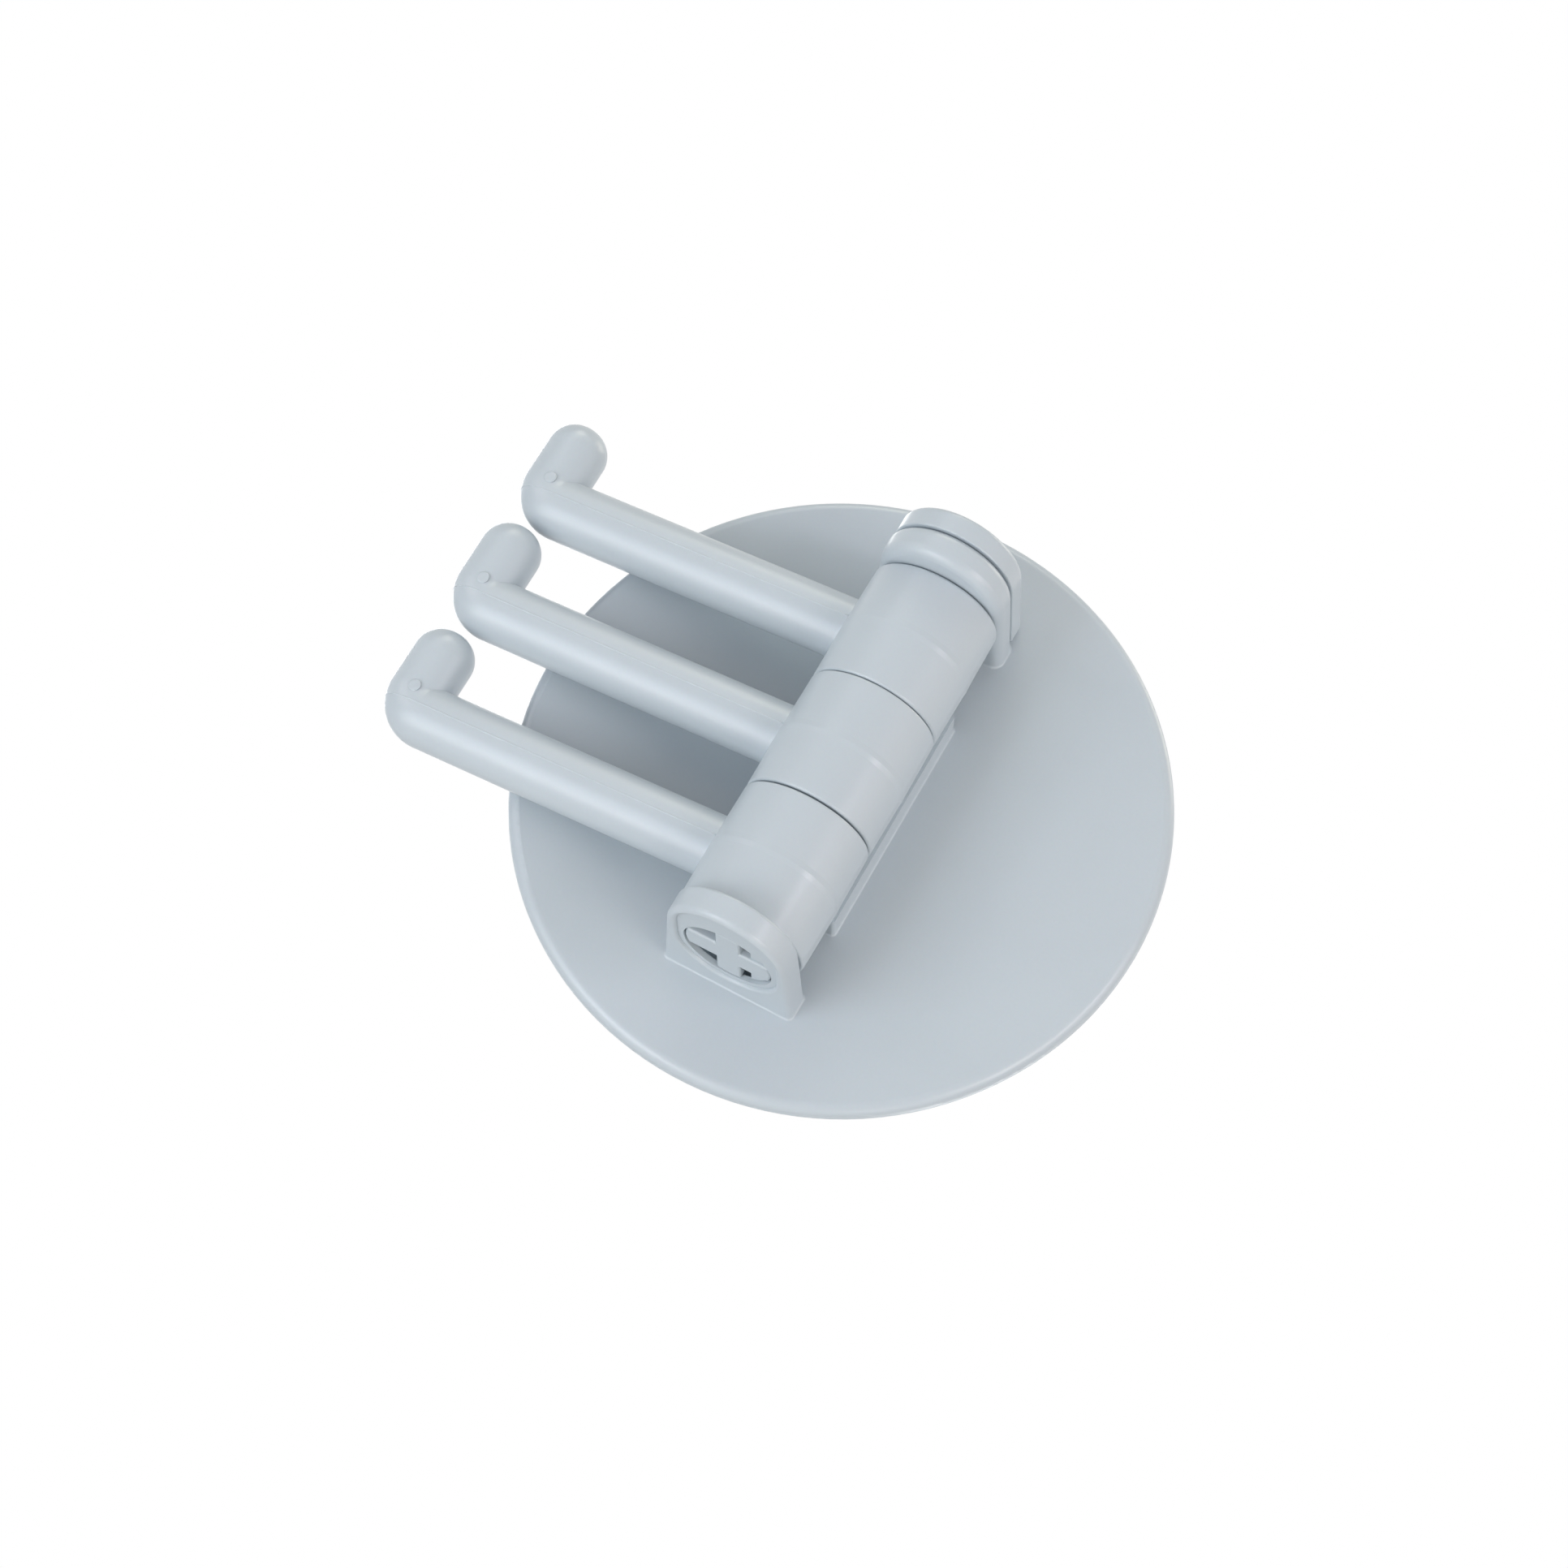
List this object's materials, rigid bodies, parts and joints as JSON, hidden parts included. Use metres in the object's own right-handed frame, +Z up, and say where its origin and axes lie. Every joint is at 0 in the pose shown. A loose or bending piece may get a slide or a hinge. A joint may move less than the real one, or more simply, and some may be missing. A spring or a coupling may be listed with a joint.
{
  "type": "swivel wall hook",
  "caption": "Round stick-on wall plate whose bracket carries side-by-side hook arms, each turning on one shared upright pin.",
  "frame": {"origin": "centre of the adhesive pad's outer face, where the hook meets the wall", "axes": "+Z up along the wall and along the hinge pin, +Y into the wall, +X to the right when facing the wall"},
  "size_m": [0.0827, 0.0208, 0.07],
  "materials": {
    "abs_moulding": "pale blue-grey moulded ABS with a soft satin gloss",
    "adhesive_foam": "white closed-cell foam pad with a tacky acrylic face"
  },
  "bodies": {
    "root": {"base": "abs_moulding", "hinge_pin": "abs_moulding", "adhesive_pad": "adhesive_foam"},
    "lower_arm": {"arm_lower": "abs_moulding"},
    "middle_arm": {"arm_middle": "abs_moulding"},
    "upper_arm": {"arm_upper": "abs_moulding"}
  },
  "joints": [
    {"name": "lower_swing", "type": "hinge", "parent": "root", "child": "lower_arm", "pos_m": [0, -0.0107, 0], "axis": [0, 0, 1], "range_deg": [0, 197.4]},
    {"name": "middle_swing", "type": "hinge", "parent": "root", "child": "middle_arm", "pos_m": [0, -0.0107, 0], "axis": [0, 0, 1], "range_deg": [0, 196.2]},
    {"name": "upper_swing", "type": "hinge", "parent": "root", "child": "upper_arm", "pos_m": [0, -0.0107, 0], "axis": [0, 0, 1], "range_deg": [0, 197.2]}
  ]
}
